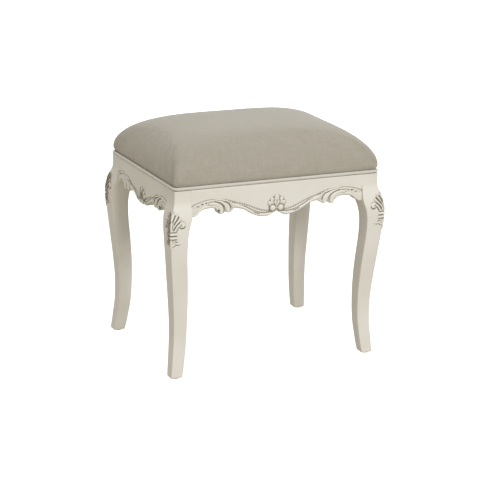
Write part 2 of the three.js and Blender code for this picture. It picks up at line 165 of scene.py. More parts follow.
def spaced(points, pitch):
    """Points a pitch apart on a smooth line through some points."""
    line = smooth_line(points, 12)
    run = np.append(0, np.cumsum(np.linalg.norm(np.diff(line, axis=0), axis=1)))
    places = np.arange(0, run[-1], pitch)
    return np.stack([np.interp(places, run, line[:, k]) for k in (0, 1)], -1)


def edge_line(stretches, end):
    """The lower edge of half a rail, carried on to its end."""
    line = np.vstack([smooth_line(stretch, 5) for stretch in stretches])
    return np.vstack([line, (end, line[-1, 1] - 0.4)])


def as_drawn(points):
    return np.array(points, float)


# ---- carving ----
BLEND = 0.35  # how softly one carved form runs into another
GLAZED_DEPTH = 1.4  # from this depth a cut is full of glaze
PETAL_LIFT = 0.6  # of a petal's rim


class Carving:
    """Heights carved over a grid of places on a flat face, and the glaze that lies in them."""

    def __init__(self, along, up, fit=as_drawn):
        self.along, self.up, self.fit = along, up, fit
        self.ground = np.zeros_like(along)
        self.height = np.zeros_like(along)
        self.glaze = np.zeros_like(along)

    def near(self, points, reach):
        """Which places lie near a line, how far from it, and how far along it they are."""
        line = smooth_line(self.fit(points))
        low, high = line.min(0) - reach, line.max(0) + reach
        near = ((self.along > low[0]) & (self.along < high[0])
                & (self.up > low[1]) & (self.up < high[1]))
        spots = np.stack([self.along[near], self.up[near]], -1)
        gap, share = np.full(len(spots), np.inf), np.zeros(len(spots))
        for k, (a, b) in enumerate(zip(line, line[1:])):
            step = b - a
            t = unit((spots - a) @ step / max(step @ step, 1e-9))
            away = np.linalg.norm(spots - a - t[:, None] * step, axis=1)
            share = np.where(away < gap, (k + t) / (len(line) - 1), share)
            gap = np.minimum(gap, away)
        return near, gap, share

    def lift(self, near, proud):
        """Raises the face to a height over the ground where that is higher, with a soft joint."""
        old, surface = self.height[near], self.ground[near] + proud
        self.height[near] = 0.5 * (old + surface + np.sqrt((old - surface) ** 2 + BLEND**2))

    def ridge(self, points, widths, proud):
        """A rounded bar along a line. Widths are halves, from its start to its end."""
        near, gap, share = self.near(points, 2 * max(widths))
        width = np.interp(share, np.linspace(0, 1, len(widths)), widths)
        self.lift(near, proud * (1 - (gap / width) ** 2.2))

    def groove(self, points, width, depth, tail=0.2):
        """A cut along a line that runs out at both ends."""
        near, gap, share = self.near(points, width)
        fade = unit(np.minimum(share, 1 - share) / tail) ** 0.6
        bite = fade * np.clip(1 - (gap / width) ** 2, 0, None) ** 1.4
        self.height[near] -= depth * bite
        self.glaze[near] = np.maximum(self.glaze[near], bite * min(1, depth / GLAZED_DEPTH))

    def leaf(self, points, widths, proud):
        """A bar with a vein cut down its middle."""
        self.ridge(points, widths, proud)
        self.groove(points, 0.9, 0.45)

    def bead(self, place, radius, proud, moat=0.8):
        """A round knob in a ring-shaped sinking."""
        x, z = self.fit([place])[0]
        gap = np.hypot(self.along - x, self.up - z)
        ring = np.exp(-(((gap - radius) / 1.1) ** 2))
        self.height -= moat * ring
        self.glaze = np.maximum(self.glaze, 0.75 * ring * (gap > radius * 0.8))
        near = gap < 1.5 * radius
        self.lift(near, proud * (1 - (gap[near] / radius) ** 2.6))

    def pit(self, place, size, depth):
        """A round or oval hole with soft sides."""
        x, z = self.fit([place])[0]
        gap = np.hypot((self.along - x) / size[0], (self.up - z) / size[1])
        bite = np.clip(1 - gap**2, 0, None) ** 0.8
        self.height -= depth * bite
        self.glaze = np.maximum(self.glaze, unit(1.6 * bite))

    def petal(self, base, tilt, length, width, proud):
        """A spoon-shaped petal that leans from upright by a tilt."""
        x, z = self.along - base[0], self.up - base[1]
        t = (x * math.sin(tilt) + z * math.cos(tilt)) / length
        across = np.abs(x * math.cos(tilt) - z * math.sin(tilt))
        near = (t > -0.1) & (t < 1.2) & (across < 1.8 * width)
        t, across = t[near], across[near]
        spoon = np.sin(math.pi * np.clip(t, 0.01, 0.99) ** 1.25) ** 0.6
        side = across / (width * (0.22 + 0.78 * spoon))
        ends = np.clip(t - 0.86, 0, None) * 7 + np.clip(-t, 0, None) * 9
        hollow = 1.5 * np.exp(-((side / 0.5) ** 2)) * unit(np.sin(math.pi * unit(t)))
        self.lift(near, PETAL_LIFT + proud * (1 - side**3 - ends**2) - hollow)
        self.glaze[near] = np.maximum(self.glaze[near], 0.35 * hollow / 1.5)


def blurred(values, reach):
    """A grid of values, averaged over a reach of cells three times."""
    for axis in (0, 1):
        values = np.moveaxis(values, axis, 0)
        for _ in range(3):
            padded = np.pad(values, ((reach + 1, reach), (0, 0)), mode="edge")
            sums = np.cumsum(padded, axis=0)
            values = (sums[2 * reach + 1:] - sums[:-2 * reach - 1]) / (2 * reach + 1)
        values = np.moveaxis(values, 0, axis)
    return values


def hollows(height, glaze, reach=4):
    """How sunk and how proud each place is, both from 0 to 1."""
    rise = height - blurred(height, reach)
    sunk = unit(-rise / 0.75)
    return unit(0.8 * sunk + 0.75 * glaze), unit(rise / 0.7)


# ---- the carved motif of a rail ----
BAND = 1.3  # how far the carved ground stands out of the board
BAND_FADE = (70, 100)  # it fades out between these places, towards the middle
BAND_TOP = ((0, 346), (15, 346.5), (31, 348), (45, 352.6), (65, 361.5), (85, 368), (99, 371),
            (117, 376), (134, 379), (146, 379.6), (155, 379.4), (167, 377.8), (178, 374.8),
            (188, 371), (197, 366.5))
ROSETTE_SHADE_SPREAD, ROSETTE_SHADE_RISE = (10, 12), 9  # of the painted shade laid as glaze over a rosette, and how high its middle lies


def carve_band(cut):
    """The raised ground between the upper scroll and the lower edge."""
    top = smooth_line(cut.fit(BAND_TOP))
    share = ramp(cut.along, *cut.fit([(place, 0) for place in BAND_FADE])[:, 0])
    inside = unit(0.5 + (np.interp(cut.along, top[:, 0], top[:, 1]) - cut.up) / 3)
    cut.ground = BAND * share**2 * (3 - 2 * share) * inside**2 * (3 - 2 * inside)
    cut.height = cut.ground.copy()


def carve_bead(cut):
    """The bead that follows the edge from the rosette and curls up under the leaves."""
    cut.ridge(((7.5, 340.6), (17, 338), (28, 337), (38, 338.4), (47, 341), (58, 346), (68, 351.6),
               (77, 356.6), (87, 360), (95, 362.6)), (2.2, 3, 3, 3, 2.8, 2.4), 1.6)
    cut.ridge(((90, 361.4), (98, 364.4), (104, 368.6), (112, 373), (124, 376.6)), (2.2, 1.8, 1.2), 1.2)
    cut.groove(((8, 344.8), (17, 342.8), (28, 341.8), (38, 343), (47, 345.6), (58, 350.6), (68, 356),
                (77, 360.8), (87, 364.4)), 1.5, 0.55)
    cut.groove(((56, 346.8), (47, 342.4), (38, 340)), 1.5, 1.5, 0.3)
    cut.groove(((98, 361), (104, 365), (110, 369.6), (118, 373)), 1.1, 0.7)


def carve_hatching(cut):
    """Small crossed cuts in the ground over the bead."""
    pitch, lean, tall, width, depth = 4.2, 1.3, 2.3, 0.95, 0.95
    line = ((20, 345.4), (31, 346.6), (45, 351), (65, 359.6), (85, 366.6), (99, 370), (112, 373.6))
    for x, z in spaced(line, pitch):
        for dx in (-lean, lean):
            cut.groove(((x - dx, z - tall), (x, z), (x + dx, z + tall)), width, depth, 0.3)


def carve_leaves(cut):
    """Three curled leaves that fall from the scroll towards the middle, with the cuts between."""
    cut.leaf(((156, 371.6), (148, 371), (140.5, 368.6), (134, 363.6), (130.4, 357), (129.6, 350.6)),
             (2.4, 4.2, 5.2, 5.2, 4.4), 2.0)
    cut.leaf(((142, 375.4), (132, 373.2), (123.6, 369), (117.4, 362.6), (113.6, 353.6)),
             (1.6, 3, 4.2, 5, 4.4), 1.8)
    cut.leaf(((124, 375.4), (114, 372), (106, 367.4), (100.6, 362.4)), (1.4, 2.6, 3.2, 2.8), 1.3)
    cut.groove(((147, 376.4), (139, 374.3), (131.5, 370.8), (125.5, 365.7), (122.4, 359.1)),
               1.7, 2.1, 0.16)
    cut.groove(((126, 375), (118, 372.6), (112.5, 368.6), (109, 363.8), (107.2, 357.7)),
               1.5, 1.8, 0.16)


def carve_scroll(cut):
    """The scroll that caps the leaves, and the rim round the arch beside the leg."""
    cut.ridge(((193, 368.2), (186, 371.2), (178, 374), (167, 376.8), (156, 378.2), (146, 378.2)),
              (1.2, 1.8, 2, 2, 1.6), 1.6)
    cut.groove(((152, 379.8), (141, 378.4), (131, 376.8), (120, 373.9), (108, 371.4), (92, 368.2),
                (76, 363.6)), 1.1, 0.7, 0.3)
    cut.ridge(((190, 349.6), (183, 354.8), (176.4, 361), (167, 365.4), (155, 366.4), (144, 364.8),
               (139, 360.4)), (1.8, 2.4, 2.6, 2.6, 2.2), 1.3)
    cut.groove(((184.6, 369), (181.4, 367.6), (178.4, 368.2)), 1.2, 1.0)
    cut.pit((173, 372.8), (2.9, 2), 2.4)
    cut.pit((164.4, 374.1), (2.1, 1.6), 1.9)
    cut.pit((135, 354.8), (2, 3.6), 2.4)


def carve_rosette(cut, base, size, glaze_with_shade):
    """Five petals over two berries, in the middle of a rail, with some painted shade laid over them as
    glaze.
    """
    for tilt, length, width in ((52, 22.5, 4.8), (27, 25, 5.2), (0, 28.4, 5.8)):
        cut.petal((1.5 * (tilt > 0), base - 1.5), math.radians(tilt), length * size, width * size, 1.9)
    cut.pit((6.6 * size, base + 15), (1.4, 3), 1.5)
    cut.bead((9.2 * size, base - 1), 7.6 * size, 4.2)
    # Painted shade over the rosette, laid as glaze.
    across, above = cut.along / ROSETTE_SHADE_SPREAD[0], (cut.up - base - ROSETTE_SHADE_RISE) / ROSETTE_SHADE_SPREAD[1]
    cut.glaze = np.maximum(cut.glaze, glaze_with_shade * np.exp(-(across**2) - above**2))


def fit_short(points):
    """The long rail's places, moved to where they come on the short rail."""
    p = np.array(points, float)
    along = np.interp(p[:, 0], LONG_PLACES, SHORT_PLACES)
    return np.stack([along, p[:, 1] - np.interp(p[:, 0], LONG_PLACES, SHORT_DROP)], -1)


# "rosette" is its height and size, "glaze" scales what lies in the cuts and is raised on the short
# rails as painted shade, then comes the painted shade laid as glaze over the rosette, and last the
# painted shade laid as glaze beside the leg at each end.
RAILS = {
    "long": {"edge": LONG_EDGE, "end": RAIL_END[0], "fit": as_drawn, "drift": LONG_DRIFT,
             "rosette": (351.5, 1.0), "glaze": 1.0, "glaze_with_shade": 0.0, "corners": (0.1, 0.7)},
    "short": {"edge": SHORT_EDGE, "end": RAIL_END[1], "fit": fit_short, "drift": (),
              "rosette": (344.5, 0.96), "glaze": 1.35, "glaze_with_shade": 0.8, "corners": (0.4, 0.1)},
}
# Where the painted shade laid as glaze beside a leg starts and where it is full, along from the rail's
# end and down.
CORNER_SHADE_REACH, CORNER_SHADE_TOP = (-2.2, -0.6), (384, 378)


def set_out(along, kind):
    """The place on the even carving that lies at each place along a rail."""
    end = RAILS[kind]["end"]
    even, real = zip((-end, -end), *RAILS[kind]["drift"], (end, end))
    return np.interp(along, real, even)


def carve_rail(along, up, kind):
    """A rail's carved face over a grid, mirrored about its middle."""
    sway = 0.25 * np.sin(along / 17 + 1) + 0.2 * np.sin(up / 9 + along / 31)
    rail = RAILS[kind]
    cut = Carving(np.abs(set_out(along, kind) + sway), up, rail["fit"])
    for carve in (carve_band, carve_bead, carve_hatching, carve_leaves, carve_scroll):
        carve(cut)
    carve_rosette(cut, *rail["rosette"], rail["glaze_with_shade"])
    # Painted shade beside each leg, in the strip where the leg stands proud of the rail.
    corner = ramp(np.abs(along) - rail["end"], *CORNER_SHADE_REACH) * ramp(up, *CORNER_SHADE_TOP)
    corner_shade_strength = np.where(along < 0, *rail["corners"])
    # On the short rails the glaze is deepened as painted shade.
    cut.glaze = np.maximum(unit(rail["glaze"] * cut.glaze), corner_shade_strength * corner)
    return cut


# ---- meshes ----
def new_object(name, mesh):
    made = bpy.data.objects.new(name, mesh)
    bpy.context.scene.collection.objects.link(made)
    return made


def store(mesh, key, values):
    """Keeps a value for each point of a mesh."""
    layer = mesh.attributes.new(key, "FLOAT", "POINT")
    layer.data.foreach_set("value", values.astype(np.float32).ravel())


def closed_piece(name, points, faces, values=(), sharp=None):
    """A closed object, its faces turned out, shaded smooth but for edges over a sharp angle."""
    mesh = bpy.data.meshes.new(name)
    mesh.from_pydata((points * MM).tolist(), [], faces)
    solid = bmesh.new()
    solid.from_mesh(mesh)
    if solid.calc_volume(signed=True) < 0:
        bmesh.ops.reverse_faces(solid, faces=solid.faces)
        solid.to_mesh(mesh)
    solid.free()
    for key, grid in dict(values).items():
        store(mesh, key, grid)
    mesh.shade_smooth()
    if sharp:
        mesh.set_sharp_from_angle(angle=math.radians(sharp))
    return new_object(name, mesh)


def loft(name, rings, values=(), ends="face"):
    """A closed object through rings of points of equal length. Each end is one face or, on a thin
    sheet, a strip of them. Of a loop, the last ring joins the first."""
    layers, count = rings.shape[:2]
    row = (np.arange(layers) * count)[:, None]
    after = np.roll(row, -1)
    if ends != "loop":
        row, after = row[:-1], after[:-1]
    here, beside = np.arange(count), (np.arange(count) + 1) % count
    faces = np.stack([row + here, row + beside, after + beside, after + here], -1)
    cap = {"loop": here[:0], "face": here[None],
           "strip": np.stack([here, beside, here[::-1] - 1, here[::-1]], -1)[:count // 2 - 1]}[ends]
    faces = faces.reshape(-1, 4).tolist() + cap[..., ::-1].tolist() + (cap + row[-1] + count).tolist()
    return closed_piece(name, rings.reshape(-1, 3), faces, values, None if ends == "loop" else 50)


def turned(points, quarters):
    """Points turned about the upright axis."""
    c, s = ((1, 0), (0, 1), (-1, 0), (0, -1))[quarters]
    x, y = points[..., 0], points[..., 1]
    return np.stack([c * x - s * y, s * x + c * y, points[..., 2]], -1)


# ---- rails ----
CARVED_TOP = 386  # above this the board is plain
ROUNDING = 2.4  # of the edge along the carving
TOP_BEVEL, LOW_BEVEL = 0.6, 0.9  # of the other edges
FINE, FACE_ROWS = 0.75, 76


def rail_grid(kind):
    """Places across a rail's face: along it and up it, and the height of its lower edge."""
    end = RAILS[kind]["end"]
    half = edge_line(RAILS[kind]["edge"], end)
    along = np.linspace(-end, end, 2 * round(end / FINE) + 1)
    low = np.interp(np.abs(set_out(along, kind)), half[:, 0], half[:, 1])
    share = np.linspace(0, 1, FACE_ROWS) ** 1.12
    up = low[:, None] + (CARVED_TOP - low[:, None]) * share
    return np.broadcast_to(along[:, None], up.shape).copy(), up, low


def edge_distance(along, up, low):
    """How far each place of a grid is from the lower edge, up to a few millimetres."""
    spots = np.stack([along, up], -1)
    reach = round(2.5 * ROUNDING / FINE)
    outline = np.pad(np.stack([along[:, 0], low], -1), ((reach, reach), (0, 0)), mode="edge")
    gap = np.full(up.shape, np.inf)
    for first in range(2 * reach):
        start, stop = (outline[k:k + len(low), None] for k in (first, first + 1))
        step = stop - start
        length = np.maximum((step**2).sum(-1), 1e-9)
        t = unit(((spots - start) * step).sum(-1) / length)
        gap = np.minimum(gap, np.linalg.norm(spots - start - t[..., None] * step, axis=-1))
    return gap


def rail_rings(kind):
    """A rail as rings round its section, one for each place along it, and its glaze, which holds
    painted shade too.
    """
    along, up, low = rail_grid(kind)
    cut = carve_rail(along, up, kind)
    sunk, proud = hollows(cut.height, cut.glaze)
    inset = np.clip(ROUNDING - edge_distance(along, up, low), 0, None)
    out = cut.height - (ROUNDING - np.sqrt(np.clip(ROUNDING**2 - inset**2, 0, None)))
    back = -RAIL_THICKNESS
    rows = [(out[:, k], up[:, k]) for k in range(up.shape[1])]
    rows += [(0, z) for z in (389.5, 394, 399, FRAME_TOP - TOP_BEVEL)]
    rows += [(n, FRAME_TOP) for n in (-TOP_BEVEL, back / 2, back + TOP_BEVEL)]
    rows.append((back, FRAME_TOP - TOP_BEVEL))
    rows += [(back, low + (FRAME_TOP - low) * share) for share in (0.75, 0.5, 0.25)]
    rows += [(back, low + LOW_BEVEL), (back + LOW_BEVEL, low)]
    first, under = out[:, 0], back + LOW_BEVEL
    rows += [(first + (under - first) * share, low) for share in (0.85, 0.6, 0.35, 0.15, 0.05)]
    ring_out, ring_up = (np.stack([np.broadcast_to(row[i], low.shape) for row in rows], 1)
                         for i in (0, 1))
    rings = np.stack([np.broadcast_to(along[:, :1], ring_up.shape), -ring_out, ring_up], -1)
    rest = np.zeros((len(low), len(rows) - sunk.shape[1]))
    return rings, {"sunk": np.hstack([sunk, rest]), "proud": np.hstack([proud, rest])}


def add_rails():
    shapes = {kind: rail_rings(kind) for kind in RAILS}
    for quarter, side in enumerate(SIDES):
        rings, values = shapes["short" if quarter % 2 else "long"]
        face = HALF[0 if quarter % 2 else 1]
        placed = turned(rings - np.array((0, face, 0)), quarter)
        rail = loft(f"carved_rail_{side}", placed, values)
        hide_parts(f"rail_{side}")
        yield rail


# ---- legs ----
KNEE = (278, 378)  # heights between which a leg is finely meshed
KNEE_STEP, LEG_STEP = 0.62, 3.0
ARC = 6  # steps round a leg's edge
# Places across an outer face from its edge with the other one, closer together there.
FACE_SHARES = np.hstack([np.linspace(0, 0.76, 54, endpoint=False), np.linspace(0.76, 1, 6)])
SIDE_SHADE_GAIN = 1.35  # painted shade: how much more glaze the side faces hold than the front and rear ones, to darken them
# Painted shade laid as glaze on the knee's side: how dark, and where it grows towards the edge, from
# below and from above.
KNEE_SIDE_SHADE, TO_EDGE, FROM_BELOW, FROM_ABOVE = 0.75, (26, 11), (290, 302), (364, 356)


def carve_knee(cut):
    """A fan of four lobes, the last one curled, over a collar of two bands and a hanging leaf."""
    cut.ridge(((0, 323), (0.4, 340), (1.2, 353), (2.4, 363)), (2, 2.6, 2.6, 1), 1.9)
    cut.ridge(((4, 337), (7, 346), (9.4, 352.4), (11.6, 358)), (1.2, 2.3, 2.5, 1.2), 2.2)
    cut.ridge(((4.4, 331), (7.6, 336.4), (11.6, 341.2), (17, 346.6), (19.6, 350)),
              (1.3, 2.3, 2.6, 2.4, 1.2), 2.2)
    cut.ridge(((9.4, 323.6), (12.4, 329.6), (15.6, 334.8), (19.6, 339.2), (24, 341.4)),
              (1.4, 2.2, 2.6, 2.6, 1.8), 2.2)
    cut.ridge(((24.6, 339), (26.6, 336.4), (27, 334)), (3.4, 4.6, 3.4), 2.0)
    cut.groove(((1.6, 341), (3.5, 348), (5.1, 353), (7, 357)), 1.9, 2.3)
    cut.groove(((4.6, 337), (8.8, 343.4), (12.8, 349), (15.4, 353.6)), 2.3, 2.7, 0.12)
    cut.groove(((5.4, 324.4), (7.8, 330), (11, 335.4), (15, 339.4), (19.4, 342)), 1.9, 2.2)
    cut.groove(((13.4, 323.4), (15.8, 329.6), (19, 333.2)), 1.5, 1.7)
    cut.groove(((18.6, 333.4), (21.4, 329.8), (25.4, 328.2), (30, 330), (31.6, 334.6)), 1.5, 1.3)
    cut.pit((25, 328.8), (2.6, 1.9), 1.7)
    for z in (318.2, 310.4):
        cut.ridge(((-1, z), (6, z), (12.4, z - 0.3)), (3.1, 3.1, 2.6), 2.2)
    for z in (322.2, 314.3, 306.4):
        cut.groove(((-2, z), (6, z), (14, z - 0.2)), 1.3, 1.1, 0.1)
    cut.ridge(((-1, 305), (0.4, 295), (0.2, 284)), (4.6, 3.6, 1), 1.5)
    cut.leaf(((7.6, 304.6), (11.6, 298.4), (17.6, 296.4), (23, 298.4)), (2.2, 2.6, 2.2, 1), 1.5)
    cut.groove(((7, 303.4), (11.3, 301.8), (15.4, 300.6)), 1.4, 1.2)
    cut.groove(((9.4, 295.4), (13.9, 294.6), (19, 295)), 1.4, 1.2)
    cut.groove(((3.6, 291), (7.4, 291.8), (10.6, 293.4)), 1.3, 0.9)


def leg_heights():
    """The heights at which a leg's rings lie, closer together at the knee."""
    below = np.linspace(FOOT + 1.2, KNEE[0], round((KNEE[0] - FOOT) / LEG_STEP), endpoint=False)
    knee = np.linspace(*KNEE, round((KNEE[1] - KNEE[0]) / KNEE_STEP), endpoint=False)
    above = np.linspace(KNEE[1], FRAME_TOP - 0.5, 9)
    return np.hstack([FOOT, FOOT + 0.35, below, knee, above, FRAME_TOP])


def leg_rings():
    """A leg for the corner at +X +Y, as rings up it, and its glaze, with painted shade for its side
    face.
    """
    heights = leg_heights()
    stations = smooth_line(LEG_PROFILE, 8)
    outer, inner = (np.interp(heights, stations[:, 0], stations[:, k])[:, None] for k in (1, 2))
    side = np.interp(heights, (338, 352), (ARRIS, JOINT_EDGE))[:, None]
    flat = ARRIS + (outer - inner - ARRIS - side) * FACE_SHARES
    arc = np.linspace(0, math.pi / 2, ARC + 1)[1:-1]
    arc_away = ARRIS * (1 - np.sin(np.minimum(math.pi / 2 - arc, arc)))
    away = np.hstack([np.broadcast_to(arc_away, (len(heights), len(arc))), flat])
    cut = Carving(away, np.broadcast_to(heights[:, None], away.shape).copy())
    carve_knee(cut)
    grids = (cut.height, *hollows(cut.height, cut.glaze, 3))
    (edge_lift, lift), (edge_sunk, sunk), (edge_proud, proud) = (
        np.split(grid, [len(arc)], axis=1) for grid in grids)
    face = np.stack([outer - flat, outer + lift], -1)
    turns = (np.cos(arc), np.sin(arc))
    edge = np.stack([outer - ARRIS + (ARRIS + edge_lift) * turn for turn in turns], -1)
    back = leg_back(outer, inner, side)
    ring = np.concatenate([face[:, ::-1, ::-1], edge, face, back], 1)
    bevel = np.interp(heights, (FOOT, FOOT + 0.35, FOOT + 1.2), (1.2, 0.35, 0))[:, None, None]
    middle = ((outer + inner) / 2)[:, :, None]
    ring = middle + (ring - middle) * (1 - bevel / 13)
    tall = np.broadcast_to(heights[:, None, None], (*ring.shape[:2], 1))
    # Painted shade on the side face: its glaze is deepened, and more is laid beside the knee's edge.
    side_sunk_and_shade = unit(SIDE_SHADE_GAIN * sunk + knee_shade(flat, heights[:, None]))
    faces = {"proud": (proud, edge_proud, proud), "shaded_side_first": (side_sunk_and_shade, edge_sunk, sunk),
             "shaded_side_last": (sunk, edge_sunk, side_sunk_and_shade)}
    none = np.zeros(back.shape[:2])
    values = {key: np.hstack([first[:, ::-1], edge, last, none])
              for key, (first, edge, last) in faces.items()}
    return np.concatenate([ring, tall], -1), values


def knee_shade(away, height):
    """Painted shade laid as glaze beside the edge of the knee, on its side face."""
    ragged = 2.2 * np.sin(height / 3.1) + 1.6 * np.sin(height / 1.7 + away / 2)
    mottle = 0.85 + 0.15 * np.sin(height / 1.3 + away / 1.9)
    tall = ramp(height, *FROM_BELOW) * ramp(height, *FROM_ABOVE)
    return KNEE_SIDE_SHADE * ramp(away - ragged, *TO_EDGE) * mottle * tall


def leg_back(outer, inner, side):
    """The rest of a leg's ring: two small edges, the two inner faces and the edge between them."""
    r, run = ARRIS, outer - inner - side - ARRIS
    turns, shares = np.linspace(0, math.pi / 2, 4), (0.2, 0.4, 0.6, 0.8)
    points = [(inner + side - side * np.sin(a), outer - side + side * np.cos(a)) for a in turns[1:]]
    points += [(inner, outer - side - run * share) for share in shares]
    points += [(inner + r - r * np.cos(a), inner + r - r * np.sin(a)) for a in turns]
    points += [(inner + r + run * share, inner) for share in shares]
    points += [(outer - side + side * np.sin(a), inner + side - side * np.cos(a)) for a in turns[:-1]]
    return np.stack([np.hstack(pair) for pair in points], 1)


def add_legs():
    rings, values = leg_rings()
    for corner, turns in CORNERS.items():
        placed = turned(rings, turns)
        placed[..., 0] += HALF[0] if "right" in corner else -HALF[0]
        placed[..., 1] += HALF[1] if "rear" in corner else -HALF[1]
        # The side face, the one looking along X, gets the painted shade.
        sunk = values["shaded_side_last" if turns % 2 else "shaded_side_first"]
        leg = loft(f"carved_leg_{corner}", placed, {"sunk": sunk, "proud": values["proud"]})
        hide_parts(f"leg_{corner}")
        yield leg


# ---- seat ----
COVER_LOW = reach("seat_cover", 0, 2)
COVER_HALF = (reach("seat_cover", 1, 0), reach("seat_cover", 1, 1))
SIDE_TOP = COVER_LOW + 23.5  # where the sides start to round over
SHOULDER = 31  # how far the rounding goes in and up
SQUARENESS = 1.9  # of the rounding: 2 would be an ellipse
SHOULDER_TOP = SIDE_TOP + SHOULDER
BULGE = 2.4  # how far the sides stand out over their foot
CROWN = 39  # how far the dome stands over its shoulder
FULLNESS = 4.1  # how late the dome falls towards its sides: a power
PULL = 2.2  # how far the sides pull in between their corners
TUCK, TUCK_TOP = 3.2, 422  # how far the cover's foot lies in behind the welt, and where that starts
SKIRT = 3.3  # how far its straight sides are trimmed back there
SPARE = 9  # how far the stuffed form is made past its foot, to be trimmed off
HELD = 9  # how far up from its foot the cover is held
VOXEL = 4  # of the stuffed form
CLOTH = {"vertex_group_mass": "foot", "use_pressure": True, "uniform_pressure_force": 4, "quality": 6,
         "tension_stiffness": 25, "compression_stiffness": 8, "bending_stiffness": 0.4,
         "shrink_min": -0.012}
CLOTH_CAP = 5  # the farthest that the simulation moves the cover
LAST_FRAME = 20  # of the simulation
# Rings of the sides, from the foot up: how far in, how far over the foot, and their corners' radius.
SIDE_RINGS = ((0.4, -SPARE, 3.5), (0, 3, 3.5), (-0.7 * BULGE, 10, 4), (-BULGE, 15, 5))
WELT_SLIM = 0.55  # how much thinner the cord is made than its CAD ring
JOIN_AT, JOIN_LENGTH, JOIN_DEPTH = 60, 1.8, 0.5  # of the cord's ends, where they meet at the back


def rounded_outline(half_x, half_y, corner, z, per_corner=10, per_side=(70, 52)):
    """A rounded rectangle as a ring of points."""
    x, y = half_x - corner, half_y - corner
    centres = ((x, y), (-x, y), (-x, -y), (x, -y))
    ends = ((-x, half_y), (-half_x, -y), (x, -half_y), (half_x, y))
    points = []
    for quarter, (centre, end) in enumerate(zip(centres, ends)):
        for k in range(per_corner + 1):
            angle = (quarter + k / per_corner) * math.pi / 2
            points.append(centre + corner * np.array((math.cos(angle), math.sin(angle))))
        steps, last = per_side[quarter % 2], points[-1]
        points += [last + (end - last) * k / steps for k in range(1, steps)]
    flat = np.array(points)
    return np.column_stack([flat, np.full(len(flat), z)])


def crown_at(points):
    """How far the dome stands over its shoulder at some places, from 0 to 1."""
    fall = [unit(1 - np.abs(points[..., k] / COVER_HALF[k]) ** FULLNESS) for k in (0, 1)]
    return fall[0] * fall[1]


def cushion_rings():
    """The stuffed seat as rings from its foot to its middle."""
    def ring(inset, z, corner):
        return rounded_outline(COVER_HALF[0] - inset, COVER_HALF[1] - inset, corner, z)

    rings = [ring(inset, COVER_LOW + rise, corner) for inset, rise, corner in SIDE_RINGS]
    rings.append(ring(-BULGE, SIDE_TOP, 6))
    for share in (0.2, 0.4, 0.6, 0.8, 1.0):
        turn = share * math.pi / 2
        across, rise = (abs(part(turn)) ** (2 / SQUARENESS) for part in (math.cos, math.sin))
        inset = SHOULDER * (1 - across) - BULGE
        rings.append(ring(inset, SIDE_TOP + SHOULDER * rise, 6 + 16 * share))
    for share in (0.9, 0.8, 0.7, 0.6, 0.5, 0.4, 0.3, 0.2, 0.1, 0.02):
        x, y = ((half + BULGE - SHOULDER) * share for half in COVER_HALF)
        rings.append(rounded_outline(x, y, min(22, 0.9 * y), SHOULDER_TOP))
    rings = np.stack(rings)
    lift = unit((rings[..., 2] - SIDE_TOP) / SHOULDER)
    rings[..., 2] += CROWN * crown_at(rings) * lift
    pull = PULL * unit((rings[..., 2] - COVER_LOW - 10) / 22)
    for k in (0, 1):
        other = 1 - k
        between = 1 - unit(np.abs(rings[..., other] / COVER_HALF[other])) ** 2
        edge = unit(np.abs(rings[..., k]) / COVER_HALF[k]) ** 8
        rings[..., k] -= np.sign(rings[..., k]) * pull * between * edge
    return rings


def apply_modifiers(piece):
    """Makes a piece's mesh what its modifiers show, and drops them."""
    shown = piece.evaluated_get(bpy.context.evaluated_depsgraph_get())
    mesh = bpy.data.meshes.new_from_object(shown)
    piece.modifiers.clear()
    piece.data = mesh


def modify(piece, kind, **settings):
    """Changes a piece's mesh by one modifier."""
    modifier = piece.modifiers.new(kind, kind)
    for key, value in settings.items():
        setattr(modifier, key, value)
    apply_modifiers(piece)


def coordinates(mesh):
    flat = np.empty(len(mesh.vertices) * 3)
    mesh.vertices.foreach_get("co", flat)
    return flat.reshape(-1, 3)


def blow_up(cushion):
    """Swells the cover with cloth simulation, its foot held, and caps how far it moves."""
    rest = coordinates(cushion.data)
    held = cushion.vertex_groups.new(name="foot")
    low = np.nonzero(rest[:, 2] < (COVER_LOW + HELD) * MM)[0]
    held.add([int(k) for k in low], 1.0, "REPLACE")
    cloth = cushion.modifiers.new("cloth", "CLOTH")
    for key, value in CLOTH.items():
        setattr(cloth.settings, key, value)
    cloth.settings.effector_weights.gravity = 0
    cloth.point_cache.frame_start = 1
    cloth.point_cache.frame_end = LAST_FRAME
    for number in range(1, LAST_FRAME + 1):
        bpy.context.scene.frame_set(number)
    apply_modifiers(cushion)
    bpy.context.scene.frame_set(1)
    move = coordinates(cushion.data) - rest
    length = np.linalg.norm(move, axis=1, keepdims=True)
    cap = CLOTH_CAP * MM
    move *= np.tanh(length / cap) * cap / np.maximum(length, 1e-9)
    cushion.data.vertices.foreach_set("co", (rest + move).ravel())
    print("cloth moved", round(float(length.mean() / MM), 2), "mm, at most",
          round(float(length.max() / MM), 2))


def tuck_foot(cushion):
    """Draws the foot of the cover in, towards where it is held behind the welt."""
    points = coordinates(cushion.data)
    depth = unit((TUCK_TOP - points[:, 2] / MM) / (TUCK_TOP - reach("welt", 1, 2))) ** 2
    points[:, :2] *= 1 - TUCK * depth[:, None] / np.array(COVER_HALF)
    cushion.data.vertices.foreach_set("co", points.ravel())


